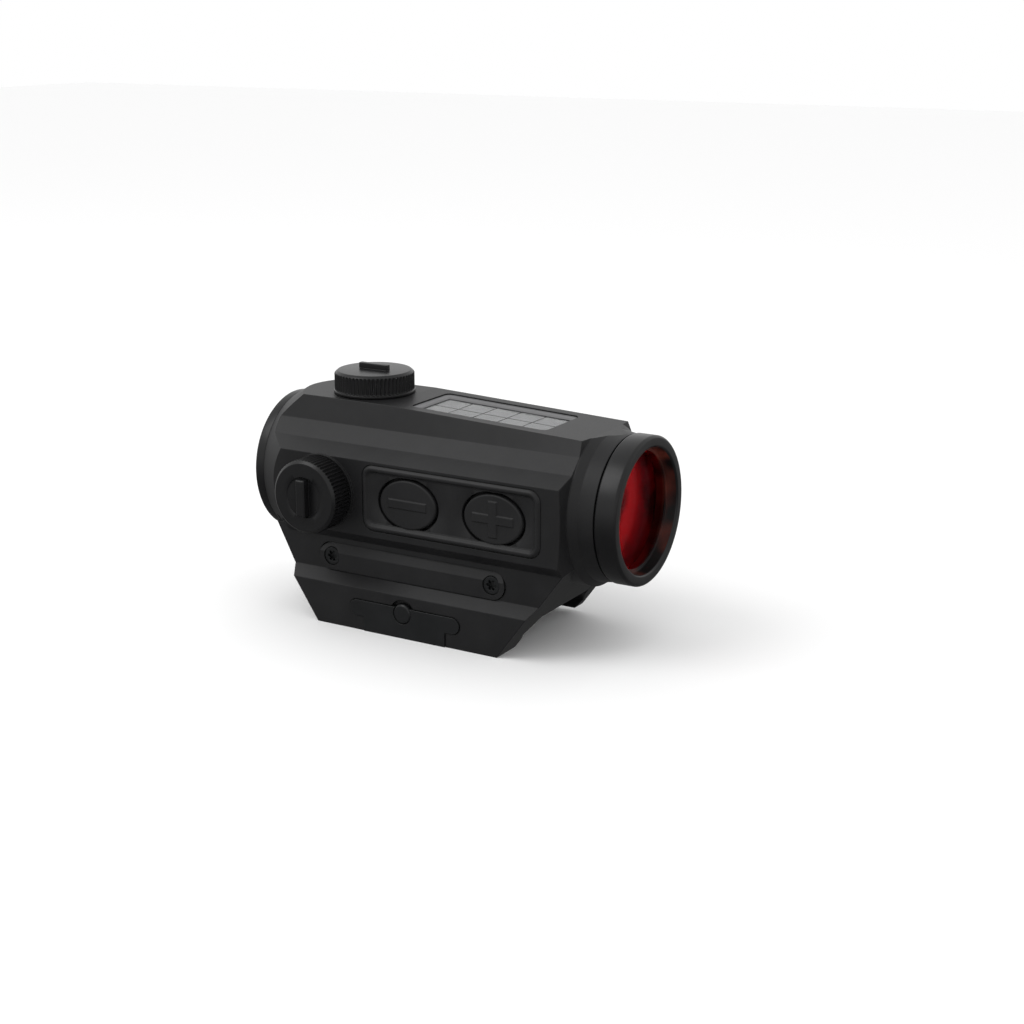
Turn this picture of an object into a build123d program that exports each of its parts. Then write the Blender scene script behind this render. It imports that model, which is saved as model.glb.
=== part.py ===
"""Compact red dot finder with a solar-assisted top, on a low accessory-rail base.

Frame: X runs forward along the optical axis (+X is the objective end), +Y is the
clamp-jaw side, -Y the control side, +Z up.  The origin is the middle of the rail
seat, the flat face that rests on top of the accessory rail.  Millimetres.
"""

from build123d import *
import math
import os

os.makedirs("parts", exist_ok=True)

# ---------------------------------------------------------------- driving sizes
axis_z = 18.8            # optical axis above the rail seat
half_length = 36.2       # front and rear rims sit at +/- this
ring_r = 12.7            # outer radius of both bezels (25.4 mm diameter)
bore_r = 9.7             # light path through the housing
spigot_r = 11.15         # bezel spigots that screw into the housing
spigot_clear = 0.05
lens_r = 10.5
pocket_r = 10.55         # lens pockets in the bezels

# cross-section of the faceted housing, half width and height
top_half = 8.2
top_z_rear = 33.1        # level platform under the elevation turret
top_z_front = 31.45      # the top slopes down to this at the front
slope_start_x = -11.0
body_front_x = 28.1
body_rear_x = -33.9
side_y = 15.4            # side facet
side_top_z = 24.8
side_low_z = 11.4
waist_y = 13.9           # undercut wall below the side facet
waist_top_z = 9.7
base_top_z = 3.7
base_y = 16.0            # outer face of the rail leg
leg_z = -5.6             # underside of the legs

# accessory rail: 21.2 mm over the V points, 15.6 mm top flat, 45 degree bevels
rail_v_y = 10.85         # V groove apex, with clearance to the 10.6 mm rail
rail_v_z = -2.8
seat_half = 8.05
near_hook_y = 10.0       # how far the fixed leg and the jaw reach under the rail
jaw_hook_y = 9.45
jaw_outer_y = 12.4
jaw_base_z = -4.2

# turrets
elev_x = -18.5
elev_r = 7.1
elev_top_z = 37.15
elev_bush_r = 5.8
wind_x = -19.35
wind_z = 18.3
wind_r = 6.5
wind_face_y = -20.8
wind_bush_r = 5.15
wind_recess_r = 3.55
wind_bar_w = 1.8
wind_bar_h = 1.1         # grip bar, above the cap's face
knurl_teeth = 60
knurl_depth = 0.26
ring_travel = 0.31       # emitter carriage travel each way

# control panel on the side
panel_x = (-10.9, 24.2)
panel_z = (12.55, 24.25)
panel_corner = 2.2
panel_top_y = -15.8
panel_floor_y = -15.25
button_z = 18.15
button_x = (-1.6, 15.2)  # minus, plus
button_rx = 5.65
button_rz = 4.3
button_gap = 0.45

# battery tray: Ø20 x 3.2 mm coin cell lying flat
tray_x = -2.3            # middle of the tray
tray_z = 6.2
tray_len = 37.8
tray_h = 4.9
tray_screw_dx = 16.3     # screws either side of the tray's middle
cell_r = 10.0
cell_t = 3.2
cell_y = -1.2

# solar window in the sloping top
solar_x = 6.4            # middle of the window
solar_len = 26.8
solar_w = 12.2
solar_depth = 1.4

# clamp
bolt_x = -2.6
bolt_z = -1.2
bolt_r = 1.75
bolt_clear = 0.05
jaw_wall_y = 8.7
jaw_top_z = 3.2

slope = math.atan2(top_z_rear - top_z_front, body_front_x - slope_start_x)


def facing_side(y_plane):
    """Plane at y_plane facing -Y: local x is +X, local y is +Z."""
    return Plane(origin=(0, y_plane, 0), x_dir=(1, 0, 0), z_dir=(0, -1, 0))


def body_section(top_z):
    """Half outline mirrored: top flat, three facets, side, undercut, waist."""
    near = [
        (-top_half, top_z),
        (-9.5, 29.0),
        (-12.0, 26.45),
        (-side_y, side_top_z),
        (-side_y, side_low_z),
        (-waist_y, waist_top_z),
        (-waist_y, 0.0),
    ]
    far = [(-y, z) for y, z in reversed(near)]
    return near + far


def knurl_outline(radius, teeth, depth):
    """Closed toothed outline of a knurled knob."""
    points = []
    for i in range(teeth * 2):
        a = math.pi * i / teeth
        r = radius if i % 2 == 0 else radius - depth
        points.append((r * math.cos(a), r * math.sin(a)))
    return points


# ---------------------------------------------------------------- housing tools
# Turned envelope of the faceted body: cone at the rear, steep face at the front.
with BuildPart() as envelope:
    with BuildSketch(Plane.XZ) as envelope_sk:
        with BuildLine():
            Polyline(
                (body_rear_x, axis_z),
                (body_rear_x, axis_z + 12.95),
                (-27.9, axis_z + 16.6),
                (-27.9, axis_z + 30),
                (27.4, axis_z + 30),
                (27.4, axis_z + 16.9),
                (body_front_x, axis_z + 13.6),
                (body_front_x, axis_z),
                close=True,
            )
        make_face()
    revolve(axis=Axis((0, 0, axis_z), (1, 0, 0)))

# ---------------------------------------------------------------- housing
with BuildPart() as housing:
    for x, top_z in ((body_rear_x - 0.1, top_z_rear), (slope_start_x, top_z_rear),
                     (body_front_x + 0.1, top_z_front)):
        with BuildSketch(Plane.YZ.offset(x)):
            Polygon(*body_section(top_z), align=None)
    loft(ruled=True)
    add(envelope.part, mode=Mode.INTERSECT)

    # waist wall carried back under the rear cone
    with BuildSketch(Plane.YZ.offset(-31.5)):
        Polygon((-waist_y, 0), (waist_y, 0), (waist_y, 10.9), (-waist_y, 10.9), align=None)
    extrude(amount=6)

    # base flange with the fixed leg and its V groove
    with BuildSketch(Plane.YZ.offset(-28.0)):
        Polygon(
            (-waist_y, base_top_z),
            (-base_y, 2.0),
            (-base_y, leg_z),
            (-near_hook_y, leg_z),
            (-near_hook_y, rail_v_z - (rail_v_y - near_hook_y)),
            (-rail_v_y, rail_v_z),
            (-seat_half, 0.0),
            (-seat_half, base_top_z),
            align=None,
        )
    extrude(amount=56.0)

    # slanted front and rear ends of the lower body
    with BuildSketch(Plane.XZ):
        Polygon((28.7, 11.4), (16.2, leg_z), (16.2, -8), (40, -8), (40, 11.4), align=None)
        Polygon((-30.8, 11.4), (-26.93, 3.9), (-20.6, leg_z), (-20.6, -8), (-40, -8),
                (-40, 11.4), align=None)
    extrude(amount=20, both=True, mode=Mode.SUBTRACT)

    # turned collars that carry the bezels
    with BuildSketch(Plane.XZ):
        with BuildLine():
            Polyline(
                (20, axis_z + 8),
                (20, axis_z + 13.85),
                (28.2, axis_z + 13.85),
                (29.5, axis_z + 12.9),
                (32.15, axis_z + 12.5),
                (32.15, axis_z + 8),
                close=True,
            )
        make_face()
        with BuildLine():
            Polyline(
                (-22, axis_z + 8),
                (-22, axis_z + 13.7),
                (-32.6, axis_z + 13.7),
                (body_rear_x, axis_z + 12.95),
                (body_rear_x, axis_z + 8),
                close=True,
            )
        make_face()
    revolve(axis=Axis((0, 0, axis_z), (1, 0, 0)))
    # the collars never rise above the top flats
    with BuildSketch(Plane.XZ):
        Polygon((slope_start_x, top_z_rear), (body_front_x, top_z_front), (40, top_z_front - 0.15),
                (40, 50), (-50, 50), (-50, top_z_rear), align=None)
    extrude(amount=30, both=True, mode=Mode.SUBTRACT)

    # windage turret boss
    with BuildSketch(facing_side(-side_y + 0.5)):
        with Locations((wind_x, wind_z)):
            Circle(wind_r + 0.1)
    extrude(amount=0.85)

    # light path, bezel threads
    with BuildSketch(Plane.YZ.offset(-40)):
        with Locations((0, axis_z)):
            Circle(bore_r)
    extrude(amount=80, mode=Mode.SUBTRACT)
    with BuildSketch(Plane.YZ.offset(29.6)):
        with Locations((0, axis_z)):
            Circle(spigot_r + spigot_clear)
    extrude(amount=5, mode=Mode.SUBTRACT)
    with BuildSketch(Plane.YZ.offset(-31.4)):
        with Locations((0, axis_z)):
            Circle(spigot_r + spigot_clear)
    extrude(amount=-5, mode=Mode.SUBTRACT)

    # turret seats and pusher holes
    with BuildSketch(Plane.XY.offset(30.2)):
        with Locations((elev_x, 0)):
            Circle(elev_bush_r + 0.03)
    extrude(amount=5, mode=Mode.SUBTRACT)
    with BuildSketch(Plane.XY.offset(25)):
        with Locations((elev_x, 0)):
            Circle(1.26)
    extrude(amount=6, mode=Mode.SUBTRACT)
    with BuildSketch(facing_side(-12.2)):
        with Locations((wind_x, wind_z)):
            Circle(wind_bush_r + 0.03)
    extrude(amount=5, mode=Mode.SUBTRACT)
    with BuildSketch(facing_side(-8)):
        with Locations((wind_x, wind_z)):
            Circle(1.26)
    extrude(amount=5, mode=Mode.SUBTRACT)

    # spring pockets opposite the two pushers
    with BuildSketch(Plane.XY.offset(5.2)):
        with Locations((elev_x, 0)):
            Circle(1.35)
    extrude(amount=6, mode=Mode.SUBTRACT)
    with BuildSketch(facing_side(13.6)):
        with Locations((wind_x, wind_z)):
            Circle(1.35)
    extrude(amount=6, mode=Mode.SUBTRACT)

    # control panel pocket
    with BuildSketch(facing_side(-11.6)):
        with Locations(((panel_x[0] + panel_x[1]) / 2, (panel_z[0] + panel_z[1]) / 2)):
            RectangleRounded(panel_x[1] - panel_x[0], panel_z[1] - panel_z[0], panel_corner)
    extrude(amount=6, mode=Mode.SUBTRACT)

    # battery chamber: lip recess, cell pocket, contact recess, screw holes
    with BuildSketch(facing_side(-11.9)):
        with Locations((tray_x, tray_z)):
            SlotOverall(tray_len + 0.24, tray_h + 0.2)
    extrude(amount=6, mode=Mode.SUBTRACT)
    with BuildSketch(facing_side(9.9)):
        with Locations((tray_x, tray_z)):
            Rectangle(24.1, 4.4)
    extrude(amount=24, mode=Mode.SUBTRACT)
    with BuildSketch(facing_side(10.45)):
        with Locations((tray_x, tray_z)):
            Rectangle(8.2, 2.8)
    extrude(amount=1, mode=Mode.SUBTRACT)
    with BuildSketch(facing_side(-6.5)):
        with Locations((tray_x - tray_screw_dx, tray_z), (tray_x + tray_screw_dx, tray_z)):
            Circle(0.86)
    extrude(amount=8, mode=Mode.SUBTRACT)

    # solar pocket, square to the sloping top
    solar_mid_z = top_z_rear - (solar_x - slope_start_x) * math.tan(slope)
    solar_plane = Plane(
        origin=(solar_x, 0, solar_mid_z),
        x_dir=(math.cos(slope), 0, -math.sin(slope)),
        z_dir=(math.sin(slope), 0, math.cos(slope)),
    )
    with BuildSketch(solar_plane):
        RectangleRounded(solar_len, solar_w, 1.2)
    extrude(amount=-solar_depth, mode=Mode.SUBTRACT)

    # jaw recess, bolt hole, T-plate pocket, guide pin holes
    with BuildSketch(Plane.YZ.offset(-40)):
        Polygon((jaw_wall_y, -1), (jaw_wall_y, 3.4), (20, 3.4), (20, -1), align=None)
    extrude(amount=80, mode=Mode.SUBTRACT)
    with BuildSketch(facing_side(20)):
        with Locations((bolt_x, bolt_z)):
            Circle(bolt_r + bolt_clear)
    extrude(amount=40, mode=Mode.SUBTRACT)
    with BuildSketch(facing_side(-14.4)):
        with Locations((bolt_x + 0.3, -1.55)):
            SlotOverall(22.6, 3.1)
        with Locations((bolt_x + 0.3, -4.5)):
            Rectangle(16.8, 4.0)
    extrude(amount=3, mode=Mode.SUBTRACT)
    with BuildSketch(facing_side(-15.3)):
        with Locations((bolt_x, bolt_z)):
            Circle(2.5)
    extrude(amount=2, mode=Mode.SUBTRACT)
    with BuildSketch(facing_side(13)):
        with Locations((-14.0, 1.6), (9.4, 1.6)):
            Circle(1.02)
    extrude(amount=7.5, mode=Mode.SUBTRACT)
housing.part.label = "housing"
export_step(housing.part, "parts/housing.step")


# ---------------------------------------------------------------- optics
with BuildPart() as front_bezel:
    with BuildSketch(Plane.XZ):
        with BuildLine():
            Polyline(
                (29.8, axis_z + pocket_r),
                (29.8, axis_z + spigot_r),
                (32.4, axis_z + spigot_r),
                (32.4, axis_z + ring_r - 0.2),
                (32.6, axis_z + ring_r),
                (half_length - 0.3, axis_z + ring_r),
                (half_length, axis_z + ring_r - 0.3),
                (half_length, axis_z + 10.95),
                (half_length - 0.25, axis_z + 10.7),
                (34.25, axis_z + 10.45),
                (34.25, axis_z + 10.0),
                (34.0, axis_z + 10.0),
                (34.0, axis_z + pocket_r),
                close=True,
            )
        make_face()
    revolve(axis=Axis((0, 0, axis_z), (1, 0, 0)))
front_bezel.part.label = "front_bezel"
export_step(front_bezel.part, "parts/front_bezel.step")

with BuildPart() as objective_lens_front:
    with BuildSketch(Plane.XZ):
        with BuildLine():
            Polyline((33.45, axis_z + lens_r), (31.9, axis_z + lens_r), (31.9, axis_z),
                     (33.95, axis_z))
            RadiusArc((33.95, axis_z), (33.45, axis_z + lens_r), -110.5)
        make_face()
    revolve(axis=Axis((0, 0, axis_z), (1, 0, 0)))
objective_lens_front.part.label = "objective_lens_front"
export_step(objective_lens_front.part, "parts/objective_lens_front.step")

with BuildPart() as objective_lens_rear:
    with BuildSketch(Plane.XZ):
        with BuildLine():
            Polyline((30.45, axis_z + lens_r), (31.85, axis_z + lens_r), (31.85, axis_z),
                     (30.85, axis_z))
            RadiusArc((30.85, axis_z), (30.45, axis_z + lens_r), -138.0)
        make_face()
    revolve(axis=Axis((0, 0, axis_z), (1, 0, 0)))
objective_lens_rear.part.label = "objective_lens_rear"
export_step(objective_lens_rear.part, "parts/objective_lens_rear.step")

with BuildPart() as front_lens_seal:
    with BuildSketch(Plane.YZ.offset(29.85)):
        with Locations((0, axis_z)):
            Circle(lens_r)
            Circle(9.8, mode=Mode.SUBTRACT)
    extrude(amount=0.5)
front_lens_seal.part.label = "front_lens_seal"
export_step(front_lens_seal.part, "parts/front_lens_seal.step")

with BuildPart() as rear_bezel:
    with BuildSketch(Plane.XZ):
        with BuildLine():
            Polyline(
                (-31.6, axis_z + pocket_r),
                (-31.6, axis_z + spigot_r),
                (-34.0, axis_z + spigot_r),
                (-34.0, axis_z + ring_r - 0.2),
                (-34.2, axis_z + ring_r),
                (-half_length + 0.3, axis_z + ring_r),
                (-half_length, axis_z + ring_r - 0.3),
                (-half_length, axis_z + 10.9),
                (-35.0, axis_z + 10.3),
                (-35.0, axis_z + 9.9),
                (-34.6, axis_z + 9.9),
                (-34.6, axis_z + pocket_r),
                close=True,
            )
        make_face()
    revolve(axis=Axis((0, 0, axis_z), (1, 0, 0)))
rear_bezel.part.label = "rear_bezel"
export_step(rear_bezel.part, "parts/rear_bezel.step")

with BuildPart() as rear_window:
    with BuildSketch(Plane.YZ.offset(-34.5)):
        with Locations((0, axis_z)):
            Circle(lens_r)
    extrude(amount=1.5)
rear_window.part.label = "rear_window"
export_step(rear_window.part, "parts/rear_window.step")

with BuildPart() as rear_lens_seal:
    with BuildSketch(Plane.YZ.offset(-32.9)):
        with Locations((0, axis_z)):
            Circle(lens_r)
            Circle(9.8, mode=Mode.SUBTRACT)
    extrude(amount=0.6)
rear_lens_seal.part.label = "rear_lens_seal"
export_step(rear_lens_seal.part, "parts/rear_lens_seal.step")

# ---------------------------------------------------------------- elevation turret
with BuildPart() as elevation_bush:
    with BuildSketch(Plane.XY.offset(30.2)):
        with Locations((elev_x, 0)):
            Circle(elev_bush_r)
            Circle(1.86, mode=Mode.SUBTRACT)
    extrude(amount=5.7)
    with BuildSketch(Plane.XY.offset(33.9)):
        with Locations((elev_x, 0)):
            Circle(4.7)
    extrude(amount=3, mode=Mode.SUBTRACT)
elevation_bush.part.label = "elevation_bush"
export_step(elevation_bush.part, "parts/elevation_bush.step")

with BuildPart() as elevation_screw:
    with BuildSketch(Plane.XY.offset(30.35)):
        with Locations((elev_x, 0)):
            Circle(1.8)
            Circle(1.0, mode=Mode.SUBTRACT)
    extrude(amount=3.6)
    with BuildSketch(Plane.XY.offset(33.95)):
        with Locations((elev_x, 0)):
            Circle(4.6)
    extrude(amount=1.6)
    with BuildSketch(Plane.XY.offset(34.75)):
        with Locations((elev_x, 0)):
            Rectangle(6.4, 1.0)
    extrude(amount=1.0, mode=Mode.SUBTRACT)
elevation_screw.part.label = "elevation_screw"
export_step(elevation_screw.part, "parts/elevation_screw.step")

with BuildPart() as elevation_pusher:
    with BuildSketch(Plane.XY.offset(axis_z + 7.95)):
        with Locations((elev_x, 0)):
            Circle(1.2)
    extrude(amount=2.85)
    with BuildSketch(Plane.XY.offset(axis_z + 10.8)):
        with Locations((elev_x, 0)):
            Circle(0.92)
    extrude(amount=2.3)
elevation_pusher.part.label = "elevation_pusher"
export_step(elevation_pusher.part, "parts/elevation_pusher.step")

elev_base_z = 33.2
with BuildPart() as elevation_cap:
    with BuildSketch(Plane.XY.offset(elev_base_z)):
        with Locations((elev_x, 0)):
            Circle(elev_r + 0.15)
    extrude(amount=0.45)
    with BuildSketch(Plane.XY.offset(elev_base_z + 0.45)):
        with Locations((elev_x, 0)):
            Polygon(*knurl_outline(elev_r, knurl_teeth, knurl_depth), align=None)
    extrude(amount=2.85)
    with BuildSketch(Plane.XY.offset(elev_base_z + 3.3)):
        with Locations((elev_x, 0)):
            Circle(elev_r - 0.05)
    extrude(amount=elev_top_z - elev_base_z - 3.3)
    chamfer(edges().group_by(Axis.Z)[-1], length=0.5)
    # key blade across the top
    with BuildSketch(Plane.XY.offset(elev_top_z - 0.1)):
        with Locations((elev_x, 0)):
            Rectangle(6.1, 1.1)
    extrude(amount=1.1)
    chamfer(edges().group_by(Axis.Z)[-1], length=0.2)
    # threaded bore and the seal's counterbore
    with BuildSketch(Plane.XY.offset(elev_base_z - 0.1)):
        with Locations((elev_x, 0)):
            Circle(elev_bush_r + 0.07)
    extrude(amount=3.2, mode=Mode.SUBTRACT)
    with BuildSketch(Plane.XY.offset(elev_base_z - 0.1)):
        with Locations((elev_x, 0)):
            Circle(6.6)
    extrude(amount=0.75, mode=Mode.SUBTRACT)
elevation_cap.part.label = "elevation_cap"
export_step(elevation_cap.part, "parts/elevation_cap.step")

with BuildPart() as elevation_cap_seal:
    with BuildSketch(Plane.XY.offset(elev_base_z + 0.05)):
        with Locations((elev_x, 0)):
            Circle(6.5)
            Circle(5.9, mode=Mode.SUBTRACT)
    extrude(amount=0.5)
elevation_cap_seal.part.label = "elevation_cap_seal"
export_step(elevation_cap_seal.part, "parts/elevation_cap_seal.step")

# ---------------------------------------------------------------- windage turret
with BuildPart() as windage_bush:
    with BuildSketch(facing_side(-12.2)):
        with Locations((wind_x, wind_z)):
            Circle(wind_bush_r)
            Circle(1.86, mode=Mode.SUBTRACT)
    extrude(amount=6.9)
    with BuildSketch(facing_side(-17.2)):
        with Locations((wind_x, wind_z)):
            Circle(4.15)
    extrude(amount=3, mode=Mode.SUBTRACT)
windage_bush.part.label = "windage_bush"
export_step(windage_bush.part, "parts/windage_bush.step")

with BuildPart() as windage_screw:
    with BuildSketch(facing_side(-12.35)):
        with Locations((wind_x, wind_z)):
            Circle(1.8)
            Circle(1.0, mode=Mode.SUBTRACT)
    extrude(amount=4.9)
    with BuildSketch(facing_side(-17.25)):
        with Locations((wind_x, wind_z)):
            Circle(4.05)
    extrude(amount=1.7)
    with BuildSketch(facing_side(-18.15)):
        with Locations((wind_x, wind_z)):
            Rectangle(1.0, 5.8)
    extrude(amount=1.0, mode=Mode.SUBTRACT)
windage_screw.part.label = "windage_screw"
export_step(windage_screw.part, "parts/windage_screw.step")

with BuildPart() as windage_pusher:
    with BuildSketch(facing_side(-9.27)):
        with Locations((wind_x, wind_z)):
            Circle(1.2)
    extrude(amount=2.3)
    with BuildSketch(facing_side(-11.57)):
        with Locations((wind_x, wind_z)):
            Circle(0.92)
    extrude(amount=2.3)
windage_pusher.part.label = "windage_pusher"
export_step(windage_pusher.part, "parts/windage_pusher.step")

wind_base_y = -15.95
wind_chamfer_y = 0.55
with BuildPart() as windage_cap:
    with BuildSketch(facing_side(wind_base_y)):
        with Locations((wind_x, wind_z)):
            Polygon(*knurl_outline(wind_r, knurl_teeth, knurl_depth), align=None)
    extrude(amount=wind_base_y - wind_face_y - wind_chamfer_y - 0.1)
    with BuildSketch(facing_side(wind_face_y + wind_chamfer_y + 0.1)):
        with Locations((wind_x, wind_z)):
            Circle(wind_r - 0.02)
    extrude(amount=wind_chamfer_y + 0.1)
    chamfer(edges().group_by(Axis.Y)[0], length=wind_chamfer_y)
    # shallow round recess with a raised grip bar across it
    with BuildSketch(facing_side(wind_face_y + 0.15)):
        with Locations((wind_x, wind_z)):
            Circle(wind_recess_r)
    extrude(amount=1.0, mode=Mode.SUBTRACT)
    with BuildSketch(facing_side(wind_face_y + 0.3)):
        with Locations((wind_x, wind_z)):
            Rectangle(wind_bar_w, 6.6)
    extrude(amount=0.3 + wind_bar_h)
    chamfer(edges().group_by(Axis.Y)[0], length=0.2)
    with BuildSketch(facing_side(wind_base_y + 0.1)):
        with Locations((wind_x, wind_z)):
            Circle(wind_bush_r + 0.07)
    extrude(amount=3.4, mode=Mode.SUBTRACT)
    with BuildSketch(facing_side(wind_base_y + 0.1)):
        with Locations((wind_x, wind_z)):
            Circle(5.85)
    extrude(amount=0.75, mode=Mode.SUBTRACT)
windage_cap.part.label = "windage_cap"
export_step(windage_cap.part, "parts/windage_cap.step")

with BuildPart() as windage_cap_seal:
    with BuildSketch(facing_side(wind_base_y - 0.05)):
        with Locations((wind_x, wind_z)):
            Circle(5.75)
            Circle(wind_bush_r + 0.1, mode=Mode.SUBTRACT)
    extrude(amount=0.5)
windage_cap_seal.part.label = "windage_cap_seal"
export_step(windage_cap_seal.part, "parts/windage_cap_seal.step")

# ---------------------------------------------------------------- emitter carriage
ring_x0 = -22.2
ring_len = 7.0
with BuildPart() as cross_slide_ring:
    with BuildSketch(Plane.YZ.offset(ring_x0)):
        with Locations((0, axis_z)):
            Circle(9.2)
            Circle(8.3, mode=Mode.SUBTRACT)
    extrude(amount=ring_len)
    with BuildSketch(Plane.XY):
        with Locations((elev_x, 0)):
            Circle(1.72)
    extrude(amount=40, mode=Mode.SUBTRACT)
cross_slide_ring.part.label = "cross_slide_ring"
export_step(cross_slide_ring.part, "parts/cross_slide_ring.step")

with BuildPart() as emitter_ring:
    with BuildSketch(Plane.YZ.offset(ring_x0)):
        with Locations((0, axis_z)):
            Circle(7.9)
            Circle(7.0, mode=Mode.SUBTRACT)
    extrude(amount=ring_len)
emitter_ring.part.label = "emitter_ring"
export_step(emitter_ring.part, "parts/emitter_ring.step")

emitter_x = ring_x0 + ring_len
with BuildPart() as emitter_board:
    with BuildSketch(Plane.YZ.offset(emitter_x)):
        with Locations((0, axis_z - 6.6)):
            RectangleRounded(4.6, 2.2, 0.3)
    extrude(amount=0.5)
    with BuildSketch(Plane.YZ.offset(emitter_x + 0.5)):
        with Locations((0, axis_z - 6.3)):
            Rectangle(1.0, 1.0)
    extrude(amount=0.5)
emitter_board.part.label = "emitter_board"
export_step(emitter_board.part, "parts/emitter_board.step")

spring_wire_r = 0.16
spring_r = 0.9
with BuildPart() as elevation_spring:
    with BuildLine() as elevation_coil:
        Helix(pitch=0.72, height=4.9, radius=spring_r, center=(elev_x, 0, 5.55))
    with BuildSketch(Plane(origin=elevation_coil.line @ 0, z_dir=elevation_coil.line % 0)):
        Circle(spring_wire_r)
    sweep(is_frenet=True)
elevation_spring.part.label = "elevation_spring"
export_step(elevation_spring.part, "parts/elevation_spring.step")

with BuildPart() as windage_spring:
    with BuildLine() as windage_coil:
        Helix(pitch=0.72, height=3.9, radius=spring_r, center=(wind_x, 9.45, wind_z),
              direction=(0, 1, 0))
    with BuildSketch(Plane(origin=windage_coil.line @ 0, z_dir=windage_coil.line % 0)):
        Circle(spring_wire_r)
    sweep(is_frenet=True)
windage_spring.part.label = "windage_spring"
export_step(windage_spring.part, "parts/windage_spring.step")

# ---------------------------------------------------------------- control panel
panel_mid = ((panel_x[0] + panel_x[1]) / 2, (panel_z[0] + panel_z[1]) / 2)
panel_w = panel_x[1] - panel_x[0] - 0.1
panel_h = panel_z[1] - panel_z[0] - 0.1
panel_back_y = -13.75
with BuildPart() as button_panel:
    with BuildSketch(facing_side(panel_back_y)):
        with Locations(panel_mid):
            RectangleRounded(panel_w, panel_h, panel_corner - 0.05)
    extrude(amount=panel_back_y - panel_top_y)
    chamfer(edges().group_by(Axis.Y)[0], length=0.3)
    with BuildSketch(facing_side(panel_floor_y)):
        with Locations(panel_mid):
            RectangleRounded(panel_w - 2.0, panel_h - 1.5, panel_corner - 0.9)
    extrude(amount=2, mode=Mode.SUBTRACT)
    with BuildSketch(facing_side(panel_back_y + 1)):
        with Locations(*[(x, button_z) for x in button_x]):
            Ellipse(button_rx + button_gap, button_rz + button_gap)
    extrude(amount=5, mode=Mode.SUBTRACT)
button_panel.part.label = "button_panel"
export_step(button_panel.part, "parts/button_panel.step")

button_top_y = -15.5
flange_y = -13.2
with BuildPart() as minus_button:
    with BuildSketch(facing_side(flange_y)):
        with Locations((button_x[0], button_z)):
            Ellipse(button_rx + 0.75, button_rz + 0.75)
    extrude(amount=0.5)
    with BuildSketch(facing_side(flange_y - 0.5)):
        with Locations((button_x[0], button_z)):
            Ellipse(button_rx, button_rz)
    extrude(amount=flange_y - 0.5 - button_top_y)
    with BuildSketch(facing_side(button_top_y)):
        with Locations((button_x[0], button_z)):
            RectangleRounded(7.6, 1.5, 0.2)
    extrude(amount=0.22)
minus_button.part.label = "minus_button"
export_step(minus_button.part, "parts/minus_button.step")

with BuildPart() as plus_button:
    with BuildSketch(facing_side(flange_y)):
        with Locations((button_x[1], button_z)):
            Ellipse(button_rx + 0.75, button_rz + 0.75)
    extrude(amount=0.5)
    with BuildSketch(facing_side(flange_y - 0.5)):
        with Locations((button_x[1], button_z)):
            Ellipse(button_rx, button_rz)
    extrude(amount=flange_y - 0.5 - button_top_y)
    with BuildSketch(facing_side(button_top_y)):
        with Locations((button_x[1], button_z)):
            RectangleRounded(7.8, 1.5, 0.2)
            RectangleRounded(1.6, 6.2, 0.2)
    extrude(amount=0.22)
plus_button.part.label = "plus_button"
export_step(plus_button.part, "parts/plus_button.step")

with BuildPart() as switch_board:
    with BuildSketch(facing_side(-11.6)):
        with Locations(panel_mid):
            RectangleRounded(33.6, 10.4, 1.6)
    extrude(amount=0.5)
switch_board.part.label = "switch_board"
export_step(switch_board.part, "parts/switch_board.step")

with BuildPart() as minus_dome:
    with BuildSketch(facing_side(-12.1)):
        with Locations((button_x[0], button_z)):
            Circle(2.2)
    extrude(amount=0.42, taper=25)
minus_dome.part.label = "minus_dome"
export_step(minus_dome.part, "parts/minus_dome.step")

with BuildPart() as plus_dome:
    with BuildSketch(facing_side(-12.1)):
        with Locations((button_x[1], button_z)):
            Circle(2.2)
    extrude(amount=0.42, taper=25)
plus_dome.part.label = "plus_dome"
export_step(plus_dome.part, "parts/plus_dome.step")

# ---------------------------------------------------------------- battery tray
tray_face_y = -14.15
plate_back_y = -12.45
screw_at = [(tray_x - tray_screw_dx, tray_z), (tray_x + tray_screw_dx, tray_z)]
with BuildPart() as battery_tray:
    with BuildSketch(facing_side(plate_back_y)):
        with Locations((tray_x, tray_z)):
            SlotOverall(tray_len, tray_h)
    extrude(amount=plate_back_y - tray_face_y)
    # sloping upper half of the front face
    with BuildSketch(Plane.YZ.offset(-30)):
        Polygon((tray_face_y - 0.1, tray_z + 0.5), (tray_face_y + 0.75, tray_z + 2.6),
                (tray_face_y - 0.1, tray_z + 2.6), align=None)
    extrude(amount=60, mode=Mode.SUBTRACT)
    with BuildSketch(facing_side(-11.9)):
        with Locations((tray_x, tray_z)):
            Rectangle(21.0, 3.3)
    extrude(amount=0.6)
    with BuildSketch(facing_side(9.6)):
        with Locations((tray_x, tray_z)):
            Rectangle(23.9, 4.1)
    extrude(amount=21.5)
    with BuildSketch(Plane.XY.offset(tray_z - 1.5)):
        with Locations((tray_x, cell_y)):
            Circle(cell_r + 0.15)
    extrude(amount=5, mode=Mode.SUBTRACT)
    with BuildSketch(facing_side(-13.1)):
        with Locations(*screw_at):
            Circle(1.65)
    extrude(amount=2, mode=Mode.SUBTRACT)
    with BuildSketch(facing_side(-12)):
        with Locations(*screw_at):
            Circle(0.86)
    extrude(amount=2, mode=Mode.SUBTRACT)
battery_tray.part.label = "battery_tray"
export_step(battery_tray.part, "parts/battery_tray.step")

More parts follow.
